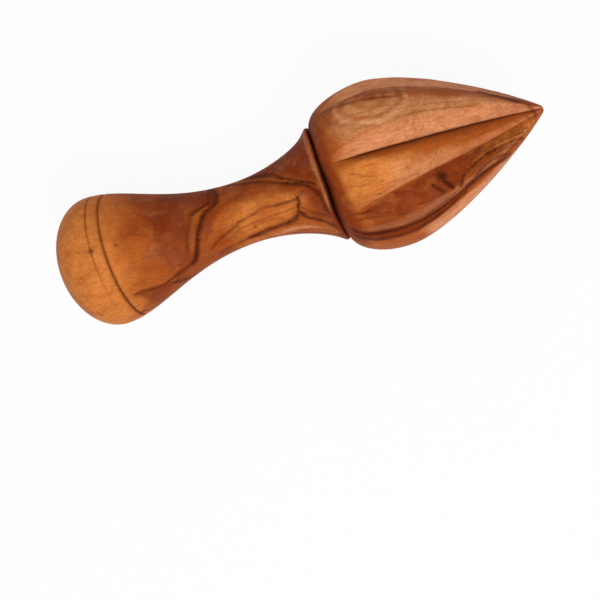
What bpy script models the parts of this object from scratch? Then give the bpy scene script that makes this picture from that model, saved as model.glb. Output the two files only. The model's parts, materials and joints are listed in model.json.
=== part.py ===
"""A turned olive wood citrus reamer, lying on its side as it rests on a table.

It has two pieces. The handle is turned, with a domed butt, two scribed rings, a narrow waist and a
lip round its top. The head is an ogive with grooves carved down it to the point, and a round
tenon under it that is glued into the handle's mortise.

Each piece is shaped upright, with the butt's flat end at height 0 and the point at the top. Angles
round the axis are in degrees, from the side that ends up uppermost. The empty reamer_axis then lays
the tool down with its point towards +X. Lengths are in metres.
"""

import math

import bmesh
import bpy
from mathutils import Matrix, Vector

MM = 0.001

# Butt
BUTT_FLAT_RADIUS = 5.0 * MM
BUTT_RADIUS = 20.0 * MM
BUTT_DOME_HEIGHT = 13.5 * MM

# Scribed rings: height above the butt's flat, width and depth of each V
RINGS = ((15.9 * MM, 0.6 * MM, 0.18 * MM), (19.5 * MM, 1.0 * MM, 0.45 * MM))
RING_CLEARING = 0.25  # share of a ring's width that is kept free of other points on each side

# Waist and flare
WAIST_RADIUS = 9.55 * MM
WAIST_HEIGHT = 59.0 * MM
FLANK_PULL = (11.7 * MM, 21.6 * MM)  # how far the flank's curve holds to the butt, and to the waist
FLARE_PULL = (9.9 * MM, 7.0 * MM)  # the same for the flare, at the waist and under the lip
FLARE_ANGLE = 39.0  # degrees that the flare leans out where it meets the lip

# Lip and seam
SEAM_HEIGHT = 86.0 * MM
LIP_RADIUS = 17.4 * MM
LIP_BEAD = 0.7 * MM  # radius of the rounded edge
LIP_BEAD_END = 70.0  # degrees above level where that edge gives way to the seam's V
LIP_DROP = 0.8 * MM  # from the seam down to the middle of that edge
SEAM_RADIUS = 15.4 * MM  # the bottom of the V that runs round the seam
SEAT_GAP = 0.3 * MM

# Tenon and mortise
TENON_RADIUS = 6.0 * MM
TENON_LENGTH = 20.0 * MM
TENON_CHAMFER = 0.8 * MM
TENON_CLEARANCE = 0.3 * MM
GLUE_SPACE = 1.0 * MM  # left under the tenon's end

# Head
HEAD_LENGTH = 64.0 * MM  # from the seam to the point
HEAD_RADIUS = 24.8 * MM
SHOULDER_RADIUS = 17.4 * MM
SHOULDER_RISE = 0.3 * MM  # height of the V's upper side
SHOULDER_LIFT = 12.0  # degrees that the shoulder climbs as it leaves the V
SHOULDER_PULL = (4.2 * MM, 8.0 * MM)  # how far its curve holds to the V and to the widest ring
WIDEST_ABOVE_SEAM = 16.3 * MM
TAPER_PULL = (13.0 * MM, 12.5 * MM)  # how far the taper's curve holds to the widest ring and to the point
POINT_ANGLE = 42.0  # degrees between the axis and the side of the point
POINT_RADIUS = 1.6 * MM  # the point is blunted by this much

# Carved grooves: the bottom of each V at the shoulder and where it has swept over, how wide its two
# walls have grown at the point, all in degrees round the axis, and its depth at the head's widest
# ring, which shrinks with the head towards the point. They are cut by eye, so no two are quite alike.
# The one at 180 faces the table, and the tool rests on its two edges.
GROOVES = (
    (-60.0, -67.0, 30.0, 30.0, 1.5 * MM),
    (-13.5, -10.2, 26.0, 13.5, 2.3 * MM),
    (29.5, 17.2, 14.0, 34.0, 2.3 * MM),
    (45.0, 53.3, 24.0, 7.0, 1.2 * MM),
    (98.0, 102.0, 20.0, 14.0, 2.0 * MM),
    (128.0, 127.0, 16.0, 12.0, 2.0 * MM),
    (152.0, 153.0, 14.0, 10.0, 1.6 * MM),
    (180.0, 180.0, 30.0, 30.0, 2.3 * MM),
    (218.0, 215.0, 16.0, 18.0, 2.0 * MM),
    (254.0, 257.0, 20.0, 14.0, 2.0 * MM),
)
GROOVE_START = 2.4 * MM  # above the seam, where each groove begins as a point
GROOVE_RUN_IN = 11.5 * MM  # length over which it reaches its full depth
GROOVE_SWEEP = 30.0 * MM  # length over which it sweeps over to its second angle
NARROWEST_GROOVE = 0.25  # share of a groove's width that its edges keep before it begins
NARROWEST_LAND = 2.0  # degrees left of the turned surface where the walls of two grooves meet

# Facets
TURNED_SIDES = 56
DOME_STEPS = 9
FLANK_STEPS = 11
FLARE_STEPS = 9
BEAD_STEPS = 5
SHOULDER_STEPS = 8
TAPER_STEPS = 18
POINT_STEPS = 3
LAND_STEPS = 3  # facets across the land between two grooves

OLIVE_WOOD = (0.47, 0.19, 0.06, 1.0)
DARK_OLIVE_WOOD = (0.38, 0.13, 0.04, 1.0)
OILED_ROUGHNESS = 0.38
SHARP_ANGLE = 32.0  # degrees between faces, past which their edge is shaded sharp

# Search for the angle at which the tool rests
STEEPEST_REST = 30.0
REST_STEPS = 40


def clear_scene():
    for thing in list(bpy.data.objects):
        bpy.data.objects.remove(thing)


def bezier(start, start_pull, end_pull, end, steps):
    """Points along a cubic curve, without its first one."""
    points = []
    for i in range(1, steps + 1):
        t = i / steps
        point = start * (1 - t) ** 3 + start_pull * 3 * t * (1 - t) ** 2
        points.append(point + end_pull * 3 * t**2 * (1 - t) + end * t**3)
    return points


def dome():
    """The butt from its flat to its widest ring, part of an ellipse."""
    first = math.asin(BUTT_FLAT_RADIUS / BUTT_RADIUS)
    full_height = BUTT_DOME_HEIGHT / math.cos(first)
    points = []
    for i in range(DOME_STEPS + 1):
        turn = first + (math.pi / 2 - first) * i / DOME_STEPS
        radius = BUTT_RADIUS * math.sin(turn)
        points.append(Vector((radius, BUTT_DOME_HEIGHT - full_height * math.cos(turn))))
    return points


def flank():
    """From the butt's widest ring in to the waist."""
    start = Vector((BUTT_RADIUS, BUTT_DOME_HEIGHT))
    end = Vector((WAIST_RADIUS, WAIST_HEIGHT))
    start_pull = start + Vector((0, FLANK_PULL[0]))
    end_pull = end - Vector((0, FLANK_PULL[1]))
    return bezier(start, start_pull, end_pull, end, FLANK_STEPS)


def radius_at(profile, height):
    """The profile's radius at a height, between its points."""
    for low, high in zip(profile, profile[1:]):
        if low.y <= height <= high.y:
            return low.x + (high.x - low.x) * (height - low.y) / (high.y - low.y)
    raise ValueError("the height is outside the profile")


def scribe(profile, height, width, depth):
    """Cuts one V-shaped ring into a profile that rises steadily."""
    surface = radius_at(profile, height)
    upper = radius_at(profile, height + width / 2)
    lower = radius_at(profile, height - width / 2)
    reach = width / 2 + width * RING_CLEARING
    kept_below = [point for point in profile if point.y < height - reach]
    kept_above = [point for point in profile if point.y > height + reach]
    ring = [
        Vector((lower, height - width / 2)),
        Vector((surface - depth, height)),
        Vector((upper, height + width / 2)),
    ]
    return kept_below + ring + kept_above


def lip():
    """The rounded edge round the top of the handle, from the flare to the seam's V."""
    middle = Vector((LIP_RADIUS - LIP_BEAD, SEAM_HEIGHT - LIP_DROP))
    points = []
    for i in range(BEAD_STEPS + 1):
        turn = math.radians(-FLARE_ANGLE + (FLARE_ANGLE + LIP_BEAD_END) * i / BEAD_STEPS)
        points.append(middle + LIP_BEAD * Vector((math.cos(turn), math.sin(turn))))
    return points


def flare():
    """From the waist out to the underside of the lip."""
    lean = math.radians(FLARE_ANGLE)
    start = Vector((WAIST_RADIUS, WAIST_HEIGHT))
    end = lip()[0]
    end_pull = end - FLARE_PULL[1] * Vector((math.sin(lean), math.cos(lean)))
    return bezier(start, start + Vector((0, FLARE_PULL[0])), end_pull, end, FLARE_STEPS)


def mortise():
    """The bore that the tenon is glued into, from the seam down to its floor."""
    bore = TENON_RADIUS + TENON_CLEARANCE
    floor = SEAM_HEIGHT + SEAT_GAP - TENON_LENGTH - GLUE_SPACE
    return [Vector((SEAM_RADIUS, SEAM_HEIGHT)), Vector((bore, SEAM_HEIGHT)), Vector((bore, floor))]


def handle_profile():
    side = dome() + flank() + flare()
    for ring in RINGS:
        side = scribe(side, *ring)
    return side + lip()[1:] + mortise()


def ring_of(bm, radii):
    """A closed ring of vertices from (radius, angle in degrees, height) triples."""
    ring = []
    for radius, angle, height in radii:
        turn = math.radians(angle)
        ring.append(bm.verts.new((radius * math.cos(turn), radius * math.sin(turn), height)))
    return ring


def loft(bm, rings):
    """Joins each ring to the next one and closes both ends."""
    for low, high in zip(rings, rings[1:]):
        for i in range(len(low)):
            j = (i + 1) % len(low)
            bm.faces.new((low[i], low[j], high[j], high[i]))
    bm.faces.new(list(reversed(rings[0])))
    bm.faces.new(rings[-1])
    bmesh.ops.recalc_face_normals(bm, faces=bm.faces)


def wood(name, colour):
    material = bpy.data.materials.new(name)
    material.use_nodes = True
    shader = material.node_tree.nodes["Principled BSDF"]
    shader.inputs["Base Color"].default_value = colour
    shader.inputs["Roughness"].default_value = OILED_ROUGHNESS
    shader.inputs["Metallic"].default_value = 0.0
    material.diffuse_color = colour
    return material


def make_object(name, bm, material, axis):
    mesh = bpy.data.meshes.new(name)
    bm.to_mesh(mesh)
    bm.free()
    mesh.shade_smooth()
    mesh.set_sharp_from_angle(angle=math.radians(SHARP_ANGLE))
    mesh.materials.append(material)
    piece = bpy.data.objects.new(name, mesh)
    bpy.context.scene.collection.objects.link(piece)
    piece.parent = axis
    return piece


def make_handle(axis):
    """Turned in one go from the butt's flat up, over the lip and down into the mortise."""
    bm = bmesh.new()
    rings = []
    for point in handle_profile():
        angles = [360 * i / TURNED_SIDES for i in range(TURNED_SIDES)]
        rings.append(ring_of(bm, [(point.x, angle, point.y) for angle in angles]))
    loft(bm, rings)
    return make_object("handle", bm, wood("olive_wood_handle", OLIVE_WOOD), axis)


def shoulder():
    """From the seam's V round the shoulder's corner and up to the head's widest ring."""
    lift = math.radians(SHOULDER_LIFT)
    start = Vector((SHOULDER_RADIUS, SEAM_HEIGHT + SEAT_GAP + SHOULDER_RISE))
    start_pull = start + SHOULDER_PULL[0] * Vector((math.cos(lift), math.sin(lift)))
    end = Vector((HEAD_RADIUS, SEAM_HEIGHT + WIDEST_ABOVE_SEAM))
    end_pull = end - Vector((0, SHOULDER_PULL[1]))
    return [start] + bezier(start, start_pull, end_pull, end, SHOULDER_STEPS)


def taper():
    """From the head's widest ring to the side of the point."""
    slope = math.radians(POINT_ANGLE)
    start = Vector((HEAD_RADIUS, SEAM_HEIGHT + WIDEST_ABOVE_SEAM))
    side = POINT_RADIUS * Vector((math.cos(slope), math.sin(slope)))
    end = Vector((0, SEAM_HEIGHT + HEAD_LENGTH - POINT_RADIUS)) + side
    end_pull = end + TAPER_PULL[1] * Vector((math.sin(slope), -math.cos(slope)))
    return bezier(start, start + Vector((0, TAPER_PULL[0])), end_pull, end, TAPER_STEPS)


def point_cap():
    """The rounded point itself, short of its very tip."""
    middle = Vector((0, SEAM_HEIGHT + HEAD_LENGTH - POINT_RADIUS))
    first = math.radians(POINT_ANGLE)
    points = []
    for i in range(1, POINT_STEPS + 1):
        turn = first + (math.pi / 2 - first) * i / (POINT_STEPS + 1)
        points.append(middle + POINT_RADIUS * Vector((math.cos(turn), math.sin(turn))))
    return points


def carved_share(height):
    """How far a groove has run in at a height, from 0 at its start to 1."""
    t = (height - SEAM_HEIGHT - GROOVE_START) / GROOVE_RUN_IN
    t = min(max(t, 0), 1)
    return t * t * (3 - 2 * t)


def widened(height):
    """Share of their width at the point that the grooves have at a height."""
    t = (height - SEAM_HEIGHT - GROOVE_START) / (HEAD_LENGTH - GROOVE_START)
    return max(NARROWEST_GROOVE, math.sqrt(max(t, 0)))


def bottoms(height):
    """The angle of each groove's bottom at a height."""
    t = (height - SEAM_HEIGHT - GROOVE_START) / GROOVE_SWEEP
    left = (1 - min(max(t, 0), 1)) ** 2
    return [swept + (start - swept) * left for start, swept, _, _, _ in GROOVES]


def land(height, bottom, after, next_bottom, next_before):
    """Where the turned surface left between two grooves starts and ends."""
    start = bottom + after * widened(height)
    end = next_bottom - next_before * widened(height)
    if end - start >= NARROWEST_LAND:
        return start, end
    middle = (start + end) / 2
    return middle - NARROWEST_LAND / 2, middle + NARROWEST_LAND / 2


def carved_ring(radius, height):
    """One ring of the head: flat walls down into each groove, and a round land up to the next."""
    share = carved_share(height) * radius / HEAD_RADIUS
    angles = bottoms(height)
    ring = []
    for i, bottom in enumerate(angles):
        _, _, _, after, depth = GROOVES[i]
        following = (i + 1) % len(GROOVES)
        turn = 360 if following == 0 else 0
        start, end = land(height, bottom, after, angles[following] + turn, GROOVES[following][2])
        ring.append((radius - depth * share, bottom, height))
        for step in range(LAND_STEPS + 1):
            ring.append((radius, start + (end - start) * step / LAND_STEPS, height))
    return ring


def make_head(axis):
    """Tenon, base and carved ogive, lofted from the tenon's end to the point."""
    base = SEAM_HEIGHT + SEAT_GAP
    tenon = [
        Vector((TENON_RADIUS - TENON_CHAMFER, base - TENON_LENGTH)),
        Vector((TENON_RADIUS, base - TENON_LENGTH + TENON_CHAMFER)),
        Vector((TENON_RADIUS, base)),
    ]
    profile = tenon + [Vector((SEAM_RADIUS, base))] + shoulder() + taper() + point_cap()
    bm = bmesh.new()
    loft(bm, [ring_of(bm, carved_ring(point.x, point.y)) for point in profile])
    return make_object("head", bm, wood("olive_wood_head", DARK_OLIVE_WOOD), axis)


def lying(tilt):
    """Turns the upright tool so that its point is towards +X and raised by an angle."""
    laid_down = Matrix(((0, 0, 1), (0, -1, 0), (1, 0, 0))).to_4x4()
    return Matrix.Rotation(-tilt, 4, "Y") @ laid_down


def lowest(piece, turn):
    return min((turn @ vertex.co).z for vertex in piece.data.vertices)


def rest_tilt(handle, head):
    """The angle at which the butt and the head touch the table together."""
    low, high = 0.0, math.radians(STEEPEST_REST)
    for _ in range(REST_STEPS):
        middle = (low + high) / 2
        turn = lying(middle)
        if lowest(head, turn) < lowest(handle, turn):
            low = middle
        else:
            high = middle
    return (low + high) / 2


def lay_down(axis, handle, head):
    """Rests the tool on the table, with the middle of its box over the origin."""
    turn = lying(rest_tilt(handle, head))
    corners = [turn @ vertex.co for piece in (handle, head) for vertex in piece.data.vertices]
    xs = [corner.x for corner in corners]
    ys = [corner.y for corner in corners]
    bottom = min(corner.z for corner in corners)
    place = Vector((-(min(xs) + max(xs)) / 2, -(min(ys) + max(ys)) / 2, -bottom))
    axis.matrix_world = Matrix.Translation(place) @ turn


def main():
    clear_scene()
    axis = bpy.data.objects.new("reamer_axis", None)
    bpy.context.scene.collection.objects.link(axis)
    handle = make_handle(axis)
    head = make_head(axis)
    lay_down(axis, handle, head)


main()
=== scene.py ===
"""The looks of the turned olive wood citrus reamer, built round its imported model.

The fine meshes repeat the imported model's turned and carved shapes at many more points. Each is
shaped upright in the tool's own frame: height along the axis from the butt's flat in millimetres,
and angles round it in degrees from the side that lies uppermost. The record's mount on the butt
says where that frame lies on the table. The wood's figure is drawn on the unrolled surface as
(height, angle) points.
"""

import json
import math

import bpy
import numpy as np
from mathutils import Matrix, Vector


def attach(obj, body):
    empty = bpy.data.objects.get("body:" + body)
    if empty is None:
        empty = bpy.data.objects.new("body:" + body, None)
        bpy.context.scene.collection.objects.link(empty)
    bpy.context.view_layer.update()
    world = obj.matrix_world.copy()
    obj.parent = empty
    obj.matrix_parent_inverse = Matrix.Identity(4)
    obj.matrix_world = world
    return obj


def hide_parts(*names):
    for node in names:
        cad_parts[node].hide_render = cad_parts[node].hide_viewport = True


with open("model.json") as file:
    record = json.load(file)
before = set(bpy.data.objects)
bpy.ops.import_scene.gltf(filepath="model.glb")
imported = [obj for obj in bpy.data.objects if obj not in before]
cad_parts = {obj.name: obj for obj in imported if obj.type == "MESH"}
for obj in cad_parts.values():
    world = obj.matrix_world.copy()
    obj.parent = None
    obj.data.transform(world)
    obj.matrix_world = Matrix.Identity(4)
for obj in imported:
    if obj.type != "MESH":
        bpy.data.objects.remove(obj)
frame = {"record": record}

MM = 0.001

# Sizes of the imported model
BUTT_FLAT_RADIUS = 5.0
BUTT_RADIUS = 20.0
BUTT_DOME_HEIGHT = 13.5
FAINT_RING = (15.9, 0.6, 0.18)
MAIN_RING = (19.5, 1.0, 0.45)
WAIST_RADIUS = 9.55
WAIST_HEIGHT = 59.0
FLANK_PULL = (11.7, 21.6)
FLARE_PULL = (9.9, 7.0)
FLARE_ANGLE = 39.0
SEAM_HEIGHT = 86.0
LIP_RADIUS = 17.4
LIP_BEAD = 0.7
LIP_BEAD_END = 70.0
LIP_DROP = 0.8
SEAM_RADIUS = 15.4
SEAT_GAP = 0.3
TENON_RADIUS = 6.0
TENON_LENGTH = 20.0
TENON_CHAMFER = 0.8
TENON_CLEARANCE = 0.3
GLUE_SPACE = 1.0
HEAD_LENGTH = 64.0
HEAD_RADIUS = 24.8
SHOULDER_RADIUS = 17.4
SHOULDER_RISE = 0.3
SHOULDER_LIFT = 12.0
SHOULDER_PULL = (4.2, 8.0)
WIDEST_ABOVE_SEAM = 16.3
TAPER_PULL = (13.0, 12.5)
POINT_ANGLE = 42.0
POINT_RADIUS = 1.6
POINT_CAP_END = 78.0
GROOVES = (
    (-60, -67, 30, 30, 1.5),
    (-13.5, -10.2, 26, 13.5, 2.3),
    (29.5, 17.2, 14, 34, 2.3),
    (45, 53.3, 24, 7, 1.2),
    (98, 102, 20, 14, 2),
    (128, 127, 16, 12, 2),
    (152, 153, 14, 10, 1.6),
    (180, 180, 30, 30, 2.3),
    (218, 215, 16, 18, 2),
    (254, 257, 20, 14, 2),
)
GROOVE_START = 2.4
GROOVE_RUN_IN = 11.5
GROOVE_SWEEP = 30.0
NARROWEST_GROOVE = 0.25
NARROWEST_LAND = 2.0

# Points in the fine meshes; pairs are for grooves on the upper side and for the others
TURNED_SIDES = 288
ROW_SPACING = 0.34
UPPER_GROOVES = 4
WALL_POINTS = (20, 9)
LAND_POINTS = (20, 8)
DOME_POINTS = 160
BEAD_POINTS = 9
SEAT_POINTS = 5
SHOULDER_POINTS = 6
TIP_POINTS = 7

INSET = 0.05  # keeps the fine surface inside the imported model's box
CREST_WEAR = 0.65  # how far the carved edges are worn round, at the widest ring
WEAR_REACH = 10  # points to each side that wear is measured over
CUT_UNEVENNESS = 0.1

# How the hand-cut seam wanders: where round the axis, how far round that reaches, and how far along
SEAM_WANDER = ((-85.0, 32.0, -1.5), (3.0, 18.0, 0.5))
SEAM_WANDER_REACH = (4.0, 9.0)  # how soon the wander fades out below the seam and above it

# Painted light and shade on the groove walls: how pale the wall before each groove's bottom is, painted
# light that is partly the wood's paler colour; how dark the wall after it is, painted shade that is partly
# the wood's darker colour; how evenly that dark carries on to the crest; and how much settled oil with
# painted shade darkens the bottom
WALL_LIGHT_AND_SHADE = (
    (0.85, 0.5, 5, 0.3),
    (0.88, 1, 1.4, 1),
    (0.35, 0.45, 1, 0.2),
    (0.3, 0.7, 1, 0.7),
    (0.12, 0.5, 1, 0.6),
    (0.5, 0.4, 1, 0.8),
    (0.6, 0.5, 1, 0.5),
    (0.4, 0.5, 1, 0.8),
    (0.7, 0.4, 1, 0.6),
    (0.3, 0.6, 1, 0.7),
)
ROLLED_OVER = 1.7  # how much the wall after each bottom rounds over towards its crest
PALE_EVENNESS = 6  # how evenly the pale wall carries on to its crest
OIL_AND_SHADE_FALL = (14, 4)  # how fast oil and painted shade thin up the walls before and after a bottom

# Figure lines: half width, darkness, and points along each. The skirt beside a line takes a share of
# its darkness and reaches some half widths out. Growth lines run along lines of many points.
LINE_SKIRT = (0.28, 2.6)
LONG_LINE = 4
HANDLE_LINES = (
    (0.85, 1, ((51, -95), (51, -78), (52.4, -65), (53.3, -52), (53.3, -40), (52.4, -31), (50.6, -25.5),
        (49.2, -21), (48, -14), (46.9, -5), (46, 3), (45, 12), (44, 24), (43, 33), (42, 41), (40.3, 48))),
    (1.7, 0.6, ((51.3, -70), (51.9, -54), (51.2, -42))),
    (0.7, 0.75, ((51, -80), (50.9, -62), (51, -50), (50.8, -40), (50.6, -33))),
    (0.5, 0.45, ((40.3, 48), (37.2, 53), (33, 59))),
    (0.75, 0.9, ((50.2, -38), (48.8, -33), (47, -29), (45.4, -25))),
    (0.9, 0.45, ((45.4, -25), (44.4, -15), (43.3, -5), (42.3, 5), (41.5, 15), (40.8, 25))),
    (0.6, 0.35, ((40.8, 25), (40.4, 35), (39.6, 42))),
    (0.65, 0.75, ((40.3, 46), (37.8, 48.5), (34.5, 50.8), (31, 51), (28.5, 49), (26.3, 45), (24.3, 41.8),
        (22.3, 41))),
    (0.7, 0.85, ((57, -70), (60, -63), (62.3, -57), (64.3, -51), (66.3, -45), (69, -37), (71.2, -30),
        (73.7, -22.5), (76.3, -16.5), (79, -10.5), (81.3, -4), (82.8, 3), (83.8, 13), (84.2, 26))),
    (0.85, 0.95, ((63, -72), (66, -61), (69, -51), (71.3, -43), (72.7, -35.5), (74.6, -27))),
    (0.55, 0.9, ((74.6, -27), (76.6, -21), (79, -14.5), (81.2, -9), (83.2, -4))),
    (0.35, 0.5, ((69.5, -70), (71.2, -61), (72.3, -52), (73.5, -44))),
    (0.35, 0.35, ((73, -66), (75, -52), (77.5, -40), (80, -30))),
    (0.5, 0.6, ((47.5, 40), (49.5, 32), (52, 26.5), (55, 20), (58, 12.8), (60.5, 9.8), (62.5, 8), (64, 4.8),
        (66.5, 3), (69, 4), (72, 5.5), (75.5, 5.5), (77, 3.5))),
    (0.4, 0.4, ((55, 30), (58, 25), (61, 22.5), (64.5, 20.5), (68, 19.5), (72, 18.5), (75.6, 15))),
    (0.4, 0.35, ((57.5, 36), (60.5, 32), (63.5, 27.5), (67, 26), (70.5, 27))),
    (0.35, 0.3, ((50, 41), (54, 36.5), (57.5, 30), (60, 27))),
    (0.5, 0.6, ((48.5, 57.5), (52, 55), (55.5, 54), (58.5, 51.5))),
    (0.85, 0.85, ((58.5, 51.5), (61.5, 49.5), (64.3, 46), (67, 43.2), (69.5, 40), (72, 37.2), (74, 32.5),
        (75.4, 27), (76.2, 24))),
    (0.45, 0.9, ((76.9, 3.5), (76.9, 9.5), (76.3, 15), (76, 22), (76.6, 28), (78, 34.5), (80, 37),
        (82.3, 40.5), (84.6, 44.5))),
    (0.9, 0.95, ((75.8, 23), (76.3, 25.5), (76.9, 28.8))),
    (0.6, 0.7, ((76.6, 8.5), (76.8, 11))),
    (0.45, 0.5, ((77.3, 18), (78.6, 23), (80.5, 27), (83, 30))),
    (0.6, 0.75, ((77.8, 34), (80.3, 37.6), (82.6, 41.5), (84.8, 46))),
    (0.45, 0.4, ((67, 66), (70, 62), (73.5, 58.8), (77, 58), (80.5, 58), (83.5, 56))),
    (0.6, 0.6, ((69, 66), (72, 69.5), (76, 70.5), (79.5, 69), (82.5, 65.5), (84.8, 60))),
    (0.5, 0.6, ((61.6, 30.5), (62, 31.5))),
    (0.45, 0.6, ((62.8, 7.6), (63.1, 9))),
    (0.45, 0.5, ((69, -11), (69.4, -9.5))),
    (0.5, 0.5, ((63.4, 57), (63.8, 59))),
    (0.45, 0.35, ((12, -13.5), (14, -12.8), (16, -12))),
    (0.5, 0.85, ((15.6, -11.6), (16.4, -11.4))),
    (0.38, 0.75, ((22.8, -10.9), (23.2, -11))),
    (0.5, 0.35, ((30, -42), (31.5, -38), (33.5, -29), (36, -21))),
    (0.4, 0.3, ((28.5, -17), (30.5, -13), (33.5, -10), (37, -8))),
    (0.4, 0.3, ((29, 9), (32, 13), (35, 15), (38.5, 15))),
    # round the side that faces the table
    (0.75, 0.9, ((51, -95), (49.5, -112), (46.5, -130), (43.5, -150), (42, -172), (42.5, -195),
        (44.5, -215), (46, -232), (45, -250), (41.5, -268), (37, -283), (33, -301))),
    (0.6, 0.7, ((51, -80), (49.3, -95), (47, -108), (43, -128), (39.5, -150), (38, -172), (38.6, -195),
        (40.6, -215), (41.3, -232), (39, -250), (34, -264), (28.5, -273), (24, -280), (20.5, -290))),
    (0.6, 0.8, ((57, -70), (56.5, -84), (56.8, -98), (59, -114), (64, -128), (70, -138), (76, -147),
        (82, -158), (85, -168))),
    (0.6, 0.7, ((63, -72), (61.8, -92), (64.5, -108), (69.5, -121), (75, -131), (80, -140), (85, -150))),
    (0.5, 0.5, ((50, -150), (54, -158), (60, -165), (67, -171), (74, -178), (80, -188), (84.5, -200))),
    (0.45, 0.4, ((49, -190), (55, -190), (62, -193), (69, -199), (76, -208), (81, -220), (84, -236))),
    (0.5, 0.55, ((49, -222), (55, -219), (62, -221), (68, -228), (74, -240), (79, -256), (83, -276),
        (85, -300))),
)
HEAD_LINES = (
    (0.75, 0.95, ((89.5, 43.5), (91.5, 46.3), (94, 47.8), (97, 48), (100, 48.2), (105, 49), (110, 50.2),
        (115, 50), (118, 49.6), (121, 49.2), (124, 47.8), (127.5, 47.8), (130.5, 50.3), (133.2, 54.5),
        (135.3, 59.5), (137, 65))),
    (0.5, 0.55, ((97, 45.5), (101, 46), (106, 47), (111, 47.4), (116, 46.5), (120, 45.2))),
    (0.75, 0.95, ((89.6, 51.5), (92, 53.7), (95, 54.8), (100, 55), (105, 55.7), (110, 56.2), (115, 55.6),
        (119, 54), (122, 52.6))),
    (0.4, 0.45, ((104, 53), (108, 53.4), (113, 52.8), (117, 51.6))),
    (0.6, 0.9, ((121.8, 42), (122.8, 37), (124, 33.6), (126.5, 31.2))),
    (0.85, 1, ((126.5, 31.2), (129, 29.8), (131.5, 29.6), (134, 31))),
    (0.6, 0.75, ((134, 31), (136.5, 34), (138.6, 38.5), (140, 44), (141, 50), (141.6, 57), (142, 66))),
    (0.45, 0.55, ((124.6, 35.6), (127, 33), (130, 32), (132.8, 32.8), (135.4, 36), (137.4, 41), (138.8, 48),
        (139.8, 57))),
    (0.5, 0.75, ((126, 26.5), (128.5, 24.6), (132, 24), (135.5, 25.5), (138.5, 29), (140.7, 34),
        (142.4, 41))),
    (0.4, 0.6, ((127.5, 22.6), (131, 21.3), (135, 21.8), (139, 25), (142, 30), (143.6, 38))),
    (0.4, 0.55, ((125, 21), (128, 19.3), (132, 18.7), (136, 19.6), (139.5, 22), (143, 26))),
    (0.35, 0.45, ((129, 16.5), (134, 16), (139, 18), (143, 21))),
    (0.6, 0.75, ((126.3, 45), (128.5, 42), (131.3, 41.3), (133.6, 44), (135.2, 49.5), (136.4, 56.5),
        (137.5, 64))),
    (0.4, 0.55, ((125.5, 39), (128, 36), (131, 35.2), (133.8, 37), (136, 41), (137.6, 47), (138.6, 54))),
    (0.35, 0.42, ((126.5, 42), (129, 39.2), (131.5, 38.6), (133.6, 40.6), (135.6, 45.4), (137, 52),
        (138, 60))),
    (0.45, 0.75, ((127.5, 50.5), (130, 47.5), (132, 49), (133.8, 53), (135, 58))),
    # circles of growth round the point
    (0.6, 0.4, ((141.6, 8), (142.4, 14), (142.8, 24), (143.6, 36), (144, 50), (144, 66))),
    (0.5, 0.4, ((144.4, 2), (145.2, 14), (145.5, 30), (145.4, 48), (145.2, 64))),
    (0.8, 0.7, ((146.6, -30), (147, -10), (147.3, 10), (147.3, 30))),
    (1.35, 1.15, ((117.5, 22.8), (118.1, 24.8))),
    (0.62, 1.15, ((118, 25), (117.9, 28), (118.5, 31.5), (119.2, 35.5), (119.7, 39))),
    (0.48, 1, ((114.7, 26.5), (115.3, 29.5), (116.1, 33), (116.9, 36.8))),
    (0.4, 0.5, ((120.4, 24.5), (121.5, 27), (122, 31))),
    (0.35, 0.45, ((110, 36), (112.5, 37.2), (115, 37.6), (117.5, 38.6))),
    (0.35, 0.4, ((95, -1), (97, 1.5), (99, 4), (101.5, 6))),
    (0.35, 0.35, ((93.5, 6.5), (96, 8.5), (99.5, 9.5), (103, 9.8))),
    (0.35, 0.35, ((94.5, 16), (98.5, 17.3), (103, 16.6))),
    (0.3, 0.3, ((100, 11), (106, 13), (112, 13.5))),
    (0.5, 0.5, ((91.5, 27.3), (94, 27.7), (97, 27))),
    (0.5, 0.5, ((92, 32.5), (95.5, 32.3), (99, 33.3), (102.5, 35.5), (106, 37.4))),
    (0.55, 0.6, ((91.5, -58.5), (95, -54.5), (99, -51.6), (103, -49.6), (108, -48), (113, -47))),
    (0.45, 0.4, ((97, -57), (102, -55), (108, -53.3), (116, -52))),
    (0.8, 0.27, ((91.8, -57), (92.4, -48), (94, -40), (96.5, -33.5), (99.5, -28.5), (103, -26),
        (107, -25.6), (111, -26.6))),
    (0.35, 0.35, ((111.5, -28.5), (117, -30), (124, -30.6), (132, -31.6))),
    (0.35, 0.3, ((115, -36), (122, -37), (130, -38.5), (138, -41))),
    (0.7, 0.8, ((134.5, -62), (137.5, -57), (140.5, -53), (143.5, -49))),
    # round the side that faces the table
    (0.6, 0.7, ((91, 96), (97, 101), (105, 104), (114, 105), (123, 103), (131, 100), (140, 96))),
    (0.5, 0.55, ((90, 112), (96, 118), (104, 124), (112, 128), (120, 129), (130, 126), (140, 120))),
    (0.7, 0.8, ((90, 160), (95, 150), (102, 143), (110, 140), (118, 142), (125, 149), (131, 160),
        (136, 174))),
    (0.5, 0.6, ((90, 172), (96, 162), (103, 156), (110, 154), (117, 157), (123, 164), (128, 174),
        (132, 186))),
    (0.5, 0.5, ((92, 184), (98, 175), (105, 170), (111, 171), (117, 177), (122, 186), (126, 198))),
    (0.7, 0.8, ((90, 214), (97, 207), (105, 205), (113, 208), (121, 214), (130, 221), (140, 226))),
    (0.5, 0.5, ((90, 232), (98, 226), (107, 225), (116, 229), (125, 234), (135, 238))),
    (0.6, 0.6, ((90, 262), (97, 255), (106, 252), (116, 254), (126, 257), (137, 260))),
    (0.45, 0.45, ((91, 276), (99, 271), (108, 270), (118, 272), (128, 274))),
)
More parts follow.
